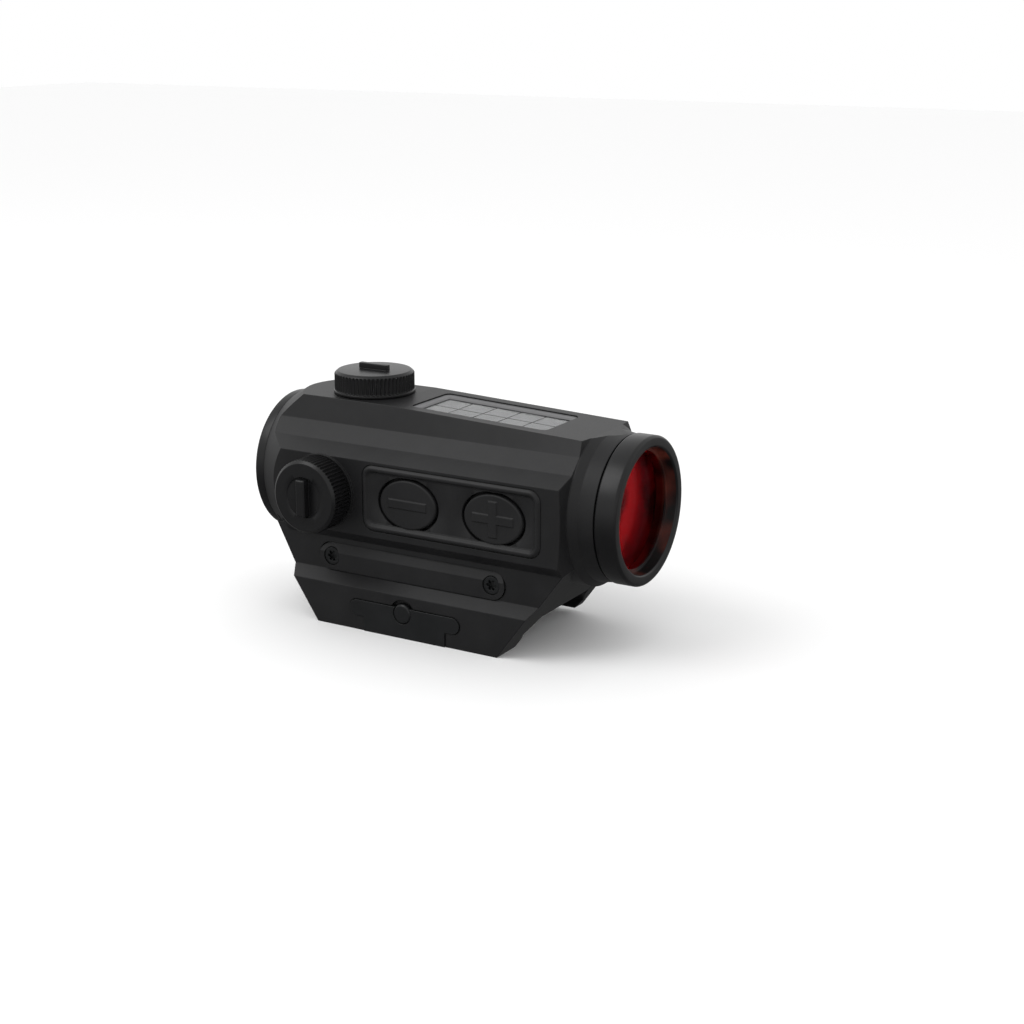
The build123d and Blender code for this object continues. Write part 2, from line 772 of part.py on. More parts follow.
with BuildPart() as tray_seal:
    with BuildSketch(facing_side(-11.95)):
        with Locations((tray_x, tray_z)):
            SlotOverall(tray_len - 0.9, tray_h - 0.1)
            Rectangle(21.1, 3.4, mode=Mode.SUBTRACT)
        with Locations(*screw_at):
            Circle(1.0, mode=Mode.SUBTRACT)
    extrude(amount=0.48)
tray_seal.part.label = "tray_seal"
export_step(tray_seal.part, "parts/tray_seal.step")

with BuildPart() as coin_cell:
    with BuildSketch(Plane.XY.offset(tray_z - 1.45)):
        with Locations((tray_x, cell_y)):
            Circle(cell_r)
    extrude(amount=2.6)
    with BuildSketch(Plane.XY.offset(tray_z + 1.15)):
        with Locations((tray_x, cell_y)):
            Circle(cell_r - 1.1)
    extrude(amount=cell_t - 2.6)
coin_cell.part.label = "coin_cell"
export_step(coin_cell.part, "parts/coin_cell.step")

with BuildPart() as battery_contact:
    with BuildSketch(facing_side(10.4)):
        with Locations((tray_x, tray_z)):
            RectangleRounded(7.6, 2.2, 0.3)
    extrude(amount=0.3)
battery_contact.part.label = "battery_contact"
export_step(battery_contact.part, "parts/battery_contact.step")

with BuildPart() as tray_screw_rear:
    with BuildSketch(facing_side(-13.12)):
        with Locations(screw_at[0]):
            Circle(1.55)
    extrude(amount=0.85)
    with BuildSketch(facing_side(-7.4)):
        with Locations(screw_at[0]):
            Circle(0.8)
    extrude(amount=5.8)
    with BuildSketch(facing_side(-13.3)):
        with Locations(screw_at[0]):
            Circle(0.6)
            with PolarLocations(0.7, 6):
                Circle(0.27)
    extrude(amount=1, mode=Mode.SUBTRACT)
tray_screw_rear.part.label = "tray_screw_rear"
export_step(tray_screw_rear.part, "parts/tray_screw_rear.step")

with BuildPart() as tray_screw_front:
    with BuildSketch(facing_side(-13.12)):
        with Locations(screw_at[1]):
            Circle(1.55)
    extrude(amount=0.85)
    with BuildSketch(facing_side(-7.4)):
        with Locations(screw_at[1]):
            Circle(0.8)
    extrude(amount=5.8)
    with BuildSketch(facing_side(-13.3)):
        with Locations(screw_at[1]):
            Circle(0.6)
            with PolarLocations(0.7, 6):
                Circle(0.27)
    extrude(amount=1, mode=Mode.SUBTRACT)
tray_screw_front.part.label = "tray_screw_front"
export_step(tray_screw_front.part, "parts/tray_screw_front.step")

# ---------------------------------------------------------------- solar window
def solar_level(depth):
    """Sketch plane parallel to the sloping top, depth below it."""
    return solar_plane.offset(-depth)


with BuildPart() as solar_board:
    with BuildSketch(solar_level(solar_depth)):
        RectangleRounded(solar_len - 0.1, solar_w - 0.1, 1.15)
    extrude(amount=0.5)
solar_board.part.label = "solar_board"
export_step(solar_board.part, "parts/solar_board.step")

cell_field = (24.4, 9.7)
cell_mid = (0.6, -0.95)
with BuildPart() as solar_cells:
    with BuildSketch(solar_level(solar_depth - 0.5)):
        with Locations(cell_mid):
            Rectangle(*cell_field)
    extrude(amount=0.3)
    # scribe lines between the cells: five columns, two rows
    with BuildSketch(solar_level(solar_depth - 0.7)):
        with Locations(cell_mid):
            with GridLocations(cell_field[0] / 5, 1, 4, 1):
                Rectangle(0.2, solar_w)
            Rectangle(solar_len, 0.2)
    extrude(amount=0.3, mode=Mode.SUBTRACT)
solar_cells.part.label = "solar_cells"
export_step(solar_cells.part, "parts/solar_cells.step")

with BuildPart() as solar_window:
    with BuildSketch(solar_level(solar_depth - 0.82)):
        RectangleRounded(solar_len - 0.1, solar_w - 0.1, 1.15)
    extrude(amount=0.12)
solar_window.part.label = "solar_window"
export_step(solar_window.part, "parts/solar_window.step")

# ---------------------------------------------------------------- rail clamp
with BuildPart() as rail_jaw:
    with BuildSketch(Plane.YZ.offset(-28)):
        Polygon(
            (jaw_wall_y + 0.25, jaw_top_z),
            (jaw_outer_y - 0.3, jaw_top_z),
            (jaw_outer_y, jaw_top_z - 0.3),
            (jaw_outer_y, jaw_base_z),
            (jaw_hook_y, jaw_base_z),
            (rail_v_y, rail_v_z),
            (jaw_wall_y + 0.25, rail_v_z + (rail_v_y - jaw_wall_y - 0.25)),
            align=None,
        )
    extrude(amount=56)
    with BuildSketch(Plane.XZ):
        Polygon((26.9, 9), (16.2, leg_z), (16.2, -8), (40, -8), (40, 9), align=None)
        Polygon((-29.9, 9), (-20.6, leg_z), (-20.6, -8), (-40, -8), (-40, 9), align=None)
    extrude(amount=-30, mode=Mode.SUBTRACT)
    with BuildSketch(facing_side(20)):
        with Locations((bolt_x, bolt_z)):
            Circle(bolt_r + bolt_clear)
    extrude(amount=20, mode=Mode.SUBTRACT)
    with BuildSketch(facing_side(13.2)):
        with Locations((-14.0, 1.6), (9.4, 1.6)):
            Circle(1.06)
    extrude(amount=8, mode=Mode.SUBTRACT)
rail_jaw.part.label = "rail_jaw"
export_step(rail_jaw.part, "parts/rail_jaw.step")

with BuildPart() as jaw_pin_rear:
    with BuildSketch(facing_side(12.3)):
        with Locations((-14.0, 1.6)):
            Circle(1.0)
    extrude(amount=6.7)
jaw_pin_rear.part.label = "jaw_pin_rear"
export_step(jaw_pin_rear.part, "parts/jaw_pin_rear.step")

with BuildPart() as jaw_pin_front:
    with BuildSketch(facing_side(12.3)):
        with Locations((9.4, 1.6)):
            Circle(1.0)
    extrude(amount=6.7)
jaw_pin_front.part.label = "jaw_pin_front"
export_step(jaw_pin_front.part, "parts/jaw_pin_front.step")

with BuildPart() as t_plate:
    with BuildSketch(facing_side(-14.45)):
        with Locations((bolt_x + 0.3, -1.55)):
            SlotOverall(22.4, 2.9)
        with Locations((bolt_x + 0.3, -4.0)):
            Rectangle(16.6, 2 * (-4.0 - leg_z))
    extrude(amount=1.75)
    with BuildSketch(facing_side(-14)):
        with Locations((bolt_x, bolt_z)):
            Circle(bolt_r + bolt_clear)
    extrude(amount=3, mode=Mode.SUBTRACT)
t_plate.part.label = "t_plate"
export_step(t_plate.part, "parts/t_plate.step")

with BuildPart() as cross_bolt:
    with BuildSketch(facing_side(12.6)):
        with Locations((bolt_x, bolt_z)):
            Circle(bolt_r)
    extrude(amount=28.9)
    chamfer(edges().group_by(Axis.Y)[0], length=0.25)
    with BuildSketch(facing_side(14.8)):
        with Locations((bolt_x, bolt_z)):
            Circle(2.9)
    extrude(amount=2.35)
    with BuildSketch(facing_side(14.8)):
        with Locations((bolt_x, bolt_z)):
            RegularPolygon(1.5, 6)
    extrude(amount=1.5, mode=Mode.SUBTRACT)
cross_bolt.part.label = "cross_bolt"
export_step(cross_bolt.part, "parts/cross_bolt.step")
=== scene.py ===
"""Looks for a compact red dot finder: satin black aluminium, moulded controls, red-coated objective."""

import math

import bpy
import numpy as np
from mathutils import Matrix, Vector


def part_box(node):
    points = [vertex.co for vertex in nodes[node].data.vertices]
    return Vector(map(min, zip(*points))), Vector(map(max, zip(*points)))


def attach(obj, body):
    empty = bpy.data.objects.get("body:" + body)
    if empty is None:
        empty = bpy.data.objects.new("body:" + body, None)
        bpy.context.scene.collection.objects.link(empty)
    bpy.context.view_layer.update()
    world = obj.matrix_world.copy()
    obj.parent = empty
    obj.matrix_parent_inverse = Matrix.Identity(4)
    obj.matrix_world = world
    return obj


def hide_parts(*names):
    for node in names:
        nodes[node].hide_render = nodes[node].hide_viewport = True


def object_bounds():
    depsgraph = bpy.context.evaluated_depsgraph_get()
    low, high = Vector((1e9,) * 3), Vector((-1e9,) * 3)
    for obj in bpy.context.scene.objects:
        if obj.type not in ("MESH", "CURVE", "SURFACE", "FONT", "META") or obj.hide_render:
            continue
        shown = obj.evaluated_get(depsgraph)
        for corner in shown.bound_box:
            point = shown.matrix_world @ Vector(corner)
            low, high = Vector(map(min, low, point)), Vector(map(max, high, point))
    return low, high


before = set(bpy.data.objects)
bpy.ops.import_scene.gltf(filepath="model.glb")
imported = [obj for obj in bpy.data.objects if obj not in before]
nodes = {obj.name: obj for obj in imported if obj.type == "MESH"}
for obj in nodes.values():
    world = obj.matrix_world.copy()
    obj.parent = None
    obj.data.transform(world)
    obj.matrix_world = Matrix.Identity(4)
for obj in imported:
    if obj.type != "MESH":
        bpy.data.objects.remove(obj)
cad_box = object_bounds()
scene = bpy.context.scene
MM = 0.001
KNURL_TEETH, KNURL_DEPTH = 60, 0.26      # grooves round each turret cap, and their depth in mm
BAR_HEIGHT = 1.1                        # grip bar above the windage cap's face, mm


# ------------------------------------------------------------------ colour and nodes
def hex_linear(code, alpha=1.0):
    """Linear RGBA of an sRGB hex colour."""
    srgb = np.array([int(code[i:i + 2], 16) for i in (1, 3, 5)]) / 255
    linear = np.where(srgb <= 0.04045, srgb / 12.92, ((srgb + 0.055) / 1.055) ** 2.4)
    return (*map(float, linear), alpha)


def add(tree, kind, settings=None, **inputs):
    """Adds one shader node; inputs are values, or sockets to link from."""
    node = tree.nodes.new("ShaderNode" + kind)
    for name, value in (settings or {}).items():
        setattr(node, name, value)
    for name, value in inputs.items():
        key = int(name[1:]) if name[0] == "i" and name[1:].isdigit() else name.replace("_", " ")
        socket = node.inputs[key]
        if isinstance(value, bpy.types.NodeSocket):
            tree.links.new(value, socket)
        else:
            socket.default_value = value
    return node


def new_material(name):
    """An empty node material and its tree."""
    material = bpy.data.materials.new(name)
    material.use_nodes = True
    material.node_tree.nodes.clear()
    return material, material.node_tree


def finish_material(tree, shader):
    """Ends the tree with the given shader as the surface."""
    add(tree, "OutputMaterial", Surface=shader)


def worn_black(name, base, light, rough, grain_mm, grain_bump, edge_mm=0.12, metallic=0.0, specular=0.27,
               rough_spread=0.08):
    """Dark surface with a fine grain: colour drifts a little between two blacks over a few
    millimetres, the grain lifts the surface, and corners are rounded by edge_mm."""
    material, tree = new_material(name)
    place = add(tree, "TexCoord").outputs["Object"]
    cloud = add(tree, "TexNoise", Vector=place, Scale=1 / (6 * MM), Detail=3.0, Roughness=0.6)
    grain = add(tree, "TexNoise", Vector=place, Scale=1 / (grain_mm * MM), Detail=2.0, Roughness=0.7)
    tone = add(tree, "ValToRGB", Fac=cloud.outputs["Fac"])
    tone.color_ramp.elements[0].position = 0.35
    tone.color_ramp.elements[0].color = hex_linear(base)
    tone.color_ramp.elements[1].position = 0.7
    tone.color_ramp.elements[1].color = hex_linear(light)
    gloss = add(tree, "MapRange", Value=grain.outputs["Fac"])
    gloss.inputs["To Min"].default_value = rough - rough_spread
    gloss.inputs["To Max"].default_value = rough + rough_spread
    corner = add(tree, "Bevel", {"samples": 4}, Radius=edge_mm * MM)
    bump = add(tree, "Bump", Strength=grain_bump, Distance=0.02 * MM, Height=grain.outputs["Fac"],
               Normal=corner.outputs["Normal"])
    shader = add(tree, "BsdfPrincipled", Base_Color=tone.outputs["Color"], Roughness=gloss.outputs[0],
                 Normal=bump.outputs["Normal"])
    shader.inputs["Metallic"].default_value = metallic
    shader.inputs["Specular IOR Level"].default_value = specular
    finish_material(tree, shader.outputs["BSDF"])
    return material


# Hard-anodised aluminium, bead blasted: even, dry, charcoal black with a soft sheen.
blasted = worn_black("anodised_aluminium_bead_blasted", "#151516", "#1a1a1b", 0.44, 0.16, 0.3, edge_mm=0.22)
# Anodised aluminium turned on a lathe: the same black, smoother, with crisper highlights.
turned = worn_black("anodised_aluminium_turned", "#101011", "#141415", 0.31, 0.3, 0.03)
# Glass-filled nylon, spark-eroded mould texture: a slightly duller black.
nylon = worn_black("glass_filled_nylon_textured", "#161617", "#1b1b1c", 0.46, 0.2, 0.5)
# Silicone rubber keys, matt moulded: soft black without sharp highlights.
silicone = worn_black("silicone_rubber_matt", "#151516", "#1a1a1b", 0.5, 0.25, 0.3)
# Black-oxide steel screws and plate: slightly bluish black.
oxide = worn_black("black_oxide_steel", "#131415", "#191a1b", 0.34, 0.18, 0.25, edge_mm=0.2)
# Nitrile seals.
nitrile = worn_black("nitrile_rubber", "#0a0a0a", "#0f0f0f", 0.6, 0.3, 0.2)
# Bare stainless steel, turned.
stainless = worn_black("stainless_steel_turned", "#8d8f92", "#a2a4a6", 0.3, 0.1, 0.2, metallic=1.0,
                       specular=0.5)
# Turned brass adjusting screws.
brass = worn_black("brass_turned", "#8c6f35", "#a88a4a", 0.32, 0.1, 0.2, metallic=1.0, specular=0.5)
# Circuit board, green solder mask over glass fibre.
board = worn_black("circuit_board_solder_mask", "#12351f", "#184428", 0.38, 0.4, 0.2, specular=0.5)
# Mask film round the cells, printed dark grey under the window.
mask_film = worn_black("printed_mask_film_grey", "#666667", "#6e6e6f", 0.5, 0.3, 0.1, specular=0.2)


def solar_silicon():
    """Amorphous silicon behind a diffusing film: pale grey cells parted by dark laser-scribed
    lines, four across at every fifth of the length and one along the middle."""
    material, tree = new_material("amorphous_silicon_cells")
    place = add(tree, "TexCoord").outputs["Object"]
    axes = add(tree, "SeparateXYZ", Vector=place)
    box_low, box_high = (np.array(v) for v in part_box("solar_cells"))
    mid, pitch = (box_low + box_high) / 2, (box_high[0] - box_low[0]) / 5

    def line(value, centre, spacing, width):
        """1 within half the width of centre + any whole number of spacings, else 0."""
        shifted = add(tree, "Math", {"operation": "SUBTRACT"}, i0=value, i1=centre + spacing / 2)
        folded = add(tree, "Math", {"operation": "PINGPONG"}, i0=shifted.outputs[0], i1=spacing / 2)
        gap = add(tree, "Math", {"operation": "SUBTRACT"}, i0=spacing / 2, i1=folded.outputs[0])
        return add(tree, "Math", {"operation": "LESS_THAN"}, i0=gap.outputs[0], i1=width / 2).outputs[0]

    across = line(axes.outputs["X"], float(mid[0]) + pitch / 2, float(pitch), 0.24 * MM)
    along = line(axes.outputs["Y"], float(mid[1]), 0.03, 0.3 * MM)
    scribed = add(tree, "Math", {"operation": "MAXIMUM"}, i0=across, i1=along)
    cloud = add(tree, "TexNoise", Vector=place, Scale=1 / (4 * MM), Detail=2.0)
    tone = add(tree, "ValToRGB", Fac=cloud.outputs["Fac"])
    tone.color_ramp.elements[0].color = hex_linear("#8e8f90")
    tone.color_ramp.elements[1].color = hex_linear("#989999")
    mixed = add(tree, "Mix", {"data_type": "RGBA"})
    tree.links.new(scribed.outputs[0], mixed.inputs["Factor"])
    tree.links.new(tone.outputs["Color"], mixed.inputs[6])
    mixed.inputs[7].default_value = hex_linear("#4a4b4c")
    shader = add(tree, "BsdfPrincipled", Base_Color=mixed.outputs[2])
    shader.inputs["Roughness"].default_value = 0.6
    shader.inputs["Specular IOR Level"].default_value = 0.15
    finish_material(tree, shader.outputs["BSDF"])
    return material


def clear_glass(name, tint="#ffffff", rough=0.0, index=1.5):
    """Clear glass or plastic.  An index near 1 stands for an anti-reflection coating, which leaves
    the surface almost no reflection of its own."""
    material, tree = new_material(name)
    shader = add(tree, "BsdfPrincipled")
    shader.inputs["Base Color"].default_value = hex_linear(tint)
    shader.inputs["Roughness"].default_value = rough
    shader.inputs["IOR"].default_value = index
    shader.inputs["Transmission Weight"].default_value = 1.0
    finish_material(tree, shader.outputs["BSDF"])
    return material


def red_coating():
    """Multilayer red-reflecting coating on the inner element of the objective: a mirror that
    returns only deep red, with broad soft patches where the layers run thinner."""
    material, tree = new_material("glass_red_dichroic_coating")
    place = add(tree, "TexCoord").outputs["Object"]
    patches = add(tree, "TexNoise", Vector=place, Scale=1 / (7 * MM), Detail=1.5, Roughness=0.45)
    tone = add(tree, "ValToRGB", Fac=patches.outputs["Fac"])
    tone.color_ramp.elements[0].position = 0.4
    tone.color_ramp.elements[0].color = hex_linear("#5a1420")
    tone.color_ramp.elements[1].position = 0.56
    tone.color_ramp.elements[1].color = hex_linear("#9e1a32")
    shader = add(tree, "BsdfPrincipled", Base_Color=tone.outputs["Color"])
    shader.inputs["Metallic"].default_value = 0.85
    shader.inputs["Roughness"].default_value = 0.24
    # At a glancing angle the coating still returns red, not white.
    shader.inputs["Specular Tint"].default_value = hex_linear("#8a2030")
    finish_material(tree, shader.outputs["BSDF"])
    return material


def black_with_painted_red_reflection():
    """Black anodised bore with a painted reflection: patches of red-brown stand in for the light that the red
    coating beside it throws onto the bore.
    """
    material, tree = new_material("anodised_bore_black_painted_red_reflection")
    place = add(tree, "TexCoord").outputs["Object"]
    painted_reflection_patches = add(tree, "TexNoise", Vector=place, Scale=1 / (6 * MM), Detail=1.0)
    tone = add(tree, "ValToRGB", Fac=painted_reflection_patches.outputs["Fac"])
    tone.color_ramp.elements[0].position = 0.42
    tone.color_ramp.elements[0].color = hex_linear("#0f0c0c")
    # The lighter stop is a painted red-brown reflection of the coating, not a stain on the metal.
    tone.color_ramp.elements[1].position = 0.6
    tone.color_ramp.elements[1].color = hex_linear("#4e221a")
    shader = add(tree, "BsdfPrincipled", Base_Color=tone.outputs["Color"])
    shader.inputs["Roughness"].default_value = 0.32
    shader.inputs["Specular IOR Level"].default_value = 0.25
    finish_material(tree, shader.outputs["BSDF"])
    return material


cells = solar_silicon()
window_glass = clear_glass("acrylic_window_clear_matt", "#f4f4f4", 0.05, 1.04)
eye_glass = clear_glass("optical_glass_clear", "#dfe8e6", 0.0, 1.12)
red_glass = red_coating()
# Front element: clear crown glass with a faint red body from its own coating.
front_glass = clear_glass("optical_glass_red_tint", "#f4b4bc", 0.0, 1.05)
bore_painted_reflection = black_with_painted_red_reflection()

finishes = {
    blasted: ["housing", "rail_jaw"],
    turned: ["front_bezel", "rear_bezel", "elevation_cap", "windage_cap", "elevation_bush", "windage_bush",
             "cross_slide_ring", "emitter_ring"],
    nylon: ["button_panel", "battery_tray"],
    silicone: ["minus_button", "plus_button"],
    oxide: ["t_plate", "cross_bolt", "tray_screw_rear", "tray_screw_front"],
    nitrile: ["front_lens_seal", "rear_lens_seal", "elevation_cap_seal", "windage_cap_seal", "tray_seal"],
    stainless: ["elevation_pusher", "windage_pusher", "elevation_spring", "windage_spring", "minus_dome",
                "plus_dome", "coin_cell", "battery_contact", "jaw_pin_rear", "jaw_pin_front"],
    brass: ["elevation_screw", "windage_screw"],
    board: ["switch_board", "emitter_board"],
    mask_film: ["solar_board"],
    cells: ["solar_cells"],
    window_glass: ["solar_window"],
    eye_glass: ["rear_window"],
    red_glass: ["objective_lens_rear"],
    front_glass: ["objective_lens_front"],
}
for material, names in finishes.items():
    for name in names:
        mesh = nodes[name].data
        mesh.materials.clear()
        mesh.materials.append(material)

# ------------------------------------------------------------------ surfaces
low_of = {name: np.array(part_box(name)[0]) / MM for name in nodes}
high_of = {name: np.array(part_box(name)[1]) / MM for name in nodes}


def soft_corners(profile, radius, steps=5, closed=False):
    """Rounds a polyline's corners.  Each inner point P becomes a quadratic curve
    (1 - s)^2 A + 2 s (1 - s) P + s^2 B, where A and B lie on the two edges that meet at P, the
    radius away from it or 0.45 of the edge if that is less.  An open line keeps its two ends."""
    p = np.asarray(profile, float)
    before, after = np.roll(p, 1, axis=0), np.roll(p, -1, axis=0)
    radius = np.broadcast_to(radius, len(p))[:, None]

    def toward(q):
        edge = q - p
        length = np.linalg.norm(edge[:, :2], axis=1, keepdims=True)
        return p + edge * np.minimum(radius / np.maximum(length, 1e-9), 0.45)

    start, end = toward(before)[:, None], toward(after)[:, None]
    t = np.linspace(0, 1, steps)[None, :, None]
    curve = (1 - t) ** 2 * start + 2 * t * (1 - t) * p[:, None] + t ** 2 * end
    if closed:
        return curve.reshape(-1, p.shape[1])
    return np.vstack([p[:1], curve[1:-1].reshape(-1, p.shape[1]), p[-1:]])


def sheet(points, wrap_rows=False, pole_start=False, pole_end=False):
    """Vertices and faces of one grid of points, rows x columns x 3.  Columns always close into a
    ring; rows close too when wrap_rows, and a pole fans the first or last ring to its mean."""
    rows, columns = points.shape[:2]
    index = np.arange(rows * columns).reshape(rows, columns)
    here = index if wrap_rows else index[:-1]
    there = np.roll(index, -1, axis=0) if wrap_rows else index[1:]
    quads = np.stack([here, np.roll(here, -1, axis=1), np.roll(there, -1, axis=1), there], axis=-1)
    vertices, faces = [points.reshape(-1, 3)], quads.reshape(-1, 4).tolist()
    count = rows * columns
    for wanted, ring, turn in ((pole_start, 0, False), (pole_end, -1, True)):
        if wanted:
            vertices.append(points[ring].mean(axis=0)[None])
            a, b = index[ring], np.roll(index[ring], -1)
            fan = np.stack([a, b, np.full(columns, count)] if turn else [b, a, np.full(columns, count)], -1)
            faces += fan.tolist()
            count += 1
    return np.vstack(vertices), faces


def outward(vertices, faces):
    """Turns the faces over if the volume they enclose, the sum of a . (b x c) / 6, is negative."""
    corners = np.array([f[:3] for f in faces])
    a, b, c = (vertices[corners[:, k]] - vertices.mean(axis=0) for k in range(3))
    volume = np.einsum("ij,ij->", a, np.cross(b, c))
    extra = np.array([(f[0], f[2], f[3]) for f in faces if len(f) == 4])
    if len(extra):
        a, b, c = (vertices[extra[:, k]] - vertices.mean(axis=0) for k in range(3))
        volume += np.einsum("ij,ij->", a, np.cross(b, c))
    return [f[::-1] for f in faces] if volume < 0 else faces


def piece(name, sheets, material, body, replaced=(), sharp=38):
    """One object in metres from closed sheets in millimetres."""
    vertices, faces, base = [], [], 0
    for points, ring in sheets:
        ring = outward(points, ring)
        faces += [[v + base for v in f] for f in ring]
        vertices.append(points)
        base += len(points)
    mesh = bpy.data.meshes.new(name)
    mesh.from_pydata((np.vstack(vertices) * MM).tolist(), [], faces)
    mesh.polygons.foreach_set("use_smooth", np.ones(len(mesh.polygons), bool))
    mesh.set_sharp_from_angle(angle=math.radians(sharp))
    mesh.materials.append(material)
    thing = bpy.data.objects.new(name, mesh)
    scene.collection.objects.link(thing)
    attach(thing, body)
    if replaced:
        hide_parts(*replaced)
    return thing


def turned_points(profile, origin, axis, across, columns, teeth=0, depth=0.0):
    """Surface of revolution.  Row (a, r, w) at angle t lies at
    origin + a axis + (r - w depth (1 - cos(teeth t)) / 2)(cos t across + sin t (axis x across)),
    so w = 1 cuts V grooves along the axis and w = 0 leaves a true circle."""
    p = np.asarray(profile, float)
    if p.shape[1] == 2:
        p = np.hstack([p, np.zeros((len(p), 1))])
    axis, across = np.asarray(axis, float), np.asarray(across, float)
    third = np.cross(axis, across)
    t = np.linspace(0, 2 * math.pi, columns, endpoint=False)
    groove = depth * (0.5 - 0.5 * np.cos(teeth * t)) ** 0.8
    r = p[:, 1:2] - p[:, 2:3] * groove
    ring = np.cos(t)[:, None] * across + np.sin(t)[:, None] * third
    return np.asarray(origin, float) + p[:, None, :1] * axis + r[..., None] * ring


def round_box_outline(half_w, half_h, corner, steps=8):
    """Rounded rectangle: a quarter circle of the corner radius about each corner's centre."""
    t = np.linspace(0, math.pi / 2, steps)
    t = (t[None] + np.arange(4)[:, None] * math.pi / 2).ravel()
    q = np.repeat(np.arange(4), steps)
    sx = np.where((q == 0) | (q == 3), 1.0, -1.0)
    sy = np.where(q < 2, 1.0, -1.0)
    return np.stack([sx * (half_w - corner) + corner * np.cos(t),
                     sy * (half_h - corner) + corner * np.sin(t)], axis=-1)


def carried(profile, half_w, half_h, corner, place, steps=8):
    """A profile of (inset, height) rows carried round a rounded rectangle: the ring for a row is
    the outline drawn in by its inset, with the corner radius less by as much."""
    rows = [place(round_box_outline(half_w - d, half_h - d, max(corner - d, 0.12), steps), h)
            for d, h in profile]
    return np.stack(rows)


def on_side(centre_x, centre_z):
    """Places outline points, across and up, on the control side at height y."""
    return lambda p, y: np.stack([centre_x + p[:, 0], np.full(len(p), y), centre_z + p[:, 1]], axis=-1)


def on_top(centre_x, centre_y):
    """Places outline points, along and across, on the top at height z."""
    return lambda p, z: np.stack([centre_x + p[:, 0], centre_y + p[:, 1], np.full(len(p), z)], axis=-1)


axis_z = (low_of["front_bezel"][2] + high_of["front_bezel"][2]) / 2
optical = dict(origin=(0, 0, axis_z), axis=(1, 0, 0), across=(0, 1, 0))

# Front rim: plain turned band, flat face, a fine bright bevel at the mouth, stepped bore.
rim_x, rim_r = high_of["front_bezel"][0], (high_of["front_bezel"][2] - low_of["front_bezel"][2]) / 2
front_rim = [(rim_x - 6.4, 10.55), (rim_x - 6.4, 11.15), (rim_x - 3.8, 11.15), (rim_x - 3.8, rim_r - 0.2),
             (rim_x - 3.6, rim_r), (rim_x - 0.35, rim_r), (rim_x, rim_r - 0.35), (rim_x, 10.98),
             (rim_x - 0.22, 10.76), (rim_x - 1.95, 10.5), (rim_x - 1.95, 10.0), (rim_x - 2.2, 10.0),
             (rim_x - 2.2, 10.55)]
front_radii = [0.05, 0.05, 0.05, 0.1, 0.12, 0.18, 0.18, 0.08, 0.08, 0.06, 0.06, 0.05, 0.05]
rim_rows = soft_corners(front_rim, front_radii, 4, closed=True)
objective = piece("objective_rim", [sheet(turned_points(rim_rows, **optical, columns=256), wrap_rows=True)],
                  turned, "housing", ["front_bezel"], sharp=50)
# The bore, inside 10.74 mm of the axis, takes the black with the painted red-brown reflection as a second
# material.
middles = np.empty(len(objective.data.polygons) * 3)
objective.data.polygons.foreach_get("center", middles)
middles = middles.reshape(-1, 3) / MM
from_axis = np.hypot(middles[:, 1], middles[:, 2] - axis_z)
objective.data.materials.append(bore_painted_reflection)
objective.data.polygons.foreach_set("material_index", (from_axis < 10.74).astype(np.int32))

# Rear rim: the same band, opening in a wider cone towards the eye.
back_x = low_of["rear_bezel"][0]
rear_rim = [(back_x + 4.6, 10.55), (back_x + 4.6, 11.15), (back_x + 2.2, 11.15), (back_x + 2.2, rim_r - 0.2),
            (back_x + 2.0, rim_r), (back_x + 0.35, rim_r), (back_x, rim_r - 0.35), (back_x, 10.9),
            (back_x + 1.2, 10.3), (back_x + 1.2, 9.9), (back_x + 1.6, 9.9), (back_x + 1.6, 10.55)]
rear_rows = soft_corners(rear_rim, 0.12, 4, closed=True)
piece("eye_rim", [sheet(turned_points(rear_rows, **optical, columns=256), wrap_rows=True)],
      turned, "housing", ["rear_bezel"], sharp=50)

# Turret caps: straight knurl below a bevelled top.
turret_x = (low_of["elevation_cap"][0] + high_of["elevation_cap"][0]) / 2
cap_z = low_of["elevation_cap"][2]
top_z = cap_z + 3.95
cap = [(top_z, 0.02, 0), (top_z, 6.5, 0), (top_z - 0.4, 6.98, 0), (top_z - 0.48, 7.04, 0.4),
       (top_z - 0.6, 7.1, 1), (cap_z + 0.62, 7.1, 1), (cap_z + 0.5, 7.08, 0), (cap_z + 0.45, 7.25, 0),
       (cap_z, 7.25, 0), (cap_z, 6.6, 0), (cap_z + 0.65, 6.6, 0), (cap_z + 0.65, 5.87, 0),
       (cap_z + 3.1, 5.87, 0), (cap_z + 3.1, 0.02, 0)]
cap_rows = soft_corners(cap, 0.1, 4)
cap_skin = sheet(turned_points(cap_rows, (turret_x, 0, 0), (0, 0, 1), (1, 0, 0), 720,
                               KNURL_TEETH, KNURL_DEPTH),
                 pole_start=True, pole_end=True)
blade = soft_corners([(0, top_z - 0.05), (0, top_z + 1.0), (0.5, top_z + 1.0)], 0.14, 5)
blade_skin = sheet(carried(blade, 3.05, 0.55, 0.3, on_top(turret_x, 0)), pole_start=True, pole_end=True)
piece("elevation_turret_cap", [cap_skin, blade_skin], turned, "elevation_cap", ["elevation_cap"])

side_x = (low_of["windage_cap"][0] + high_of["windage_cap"][0]) / 2
side_z = (low_of["windage_cap"][2] + high_of["windage_cap"][2]) / 2
bar_y, root_y = low_of["windage_cap"][1], high_of["windage_cap"][1]
face_y = bar_y + BAR_HEIGHT
knob = [(-face_y, 5.95, 0), (-face_y - 0.42, 6.42, 0), (-face_y - 0.5, 6.46, 0.4), (-face_y - 0.62, 6.5, 1),
        (-root_y + 0.12, 6.5, 1), (-root_y, 6.3, 0), (-root_y, 5.85, 0), (-root_y + 0.65, 5.85, 0),
        (-root_y + 0.65, 5.22, 0), (-root_y + 3.3, 5.22, 0), (-root_y + 3.3, 0.02, 0)]
knob_side = turned_points(soft_corners(knob, 0.09, 4), (side_x, 0, side_z), (0, -1, 0), (1, 0, 0), 720,
                          KNURL_TEETH, KNURL_DEPTH)


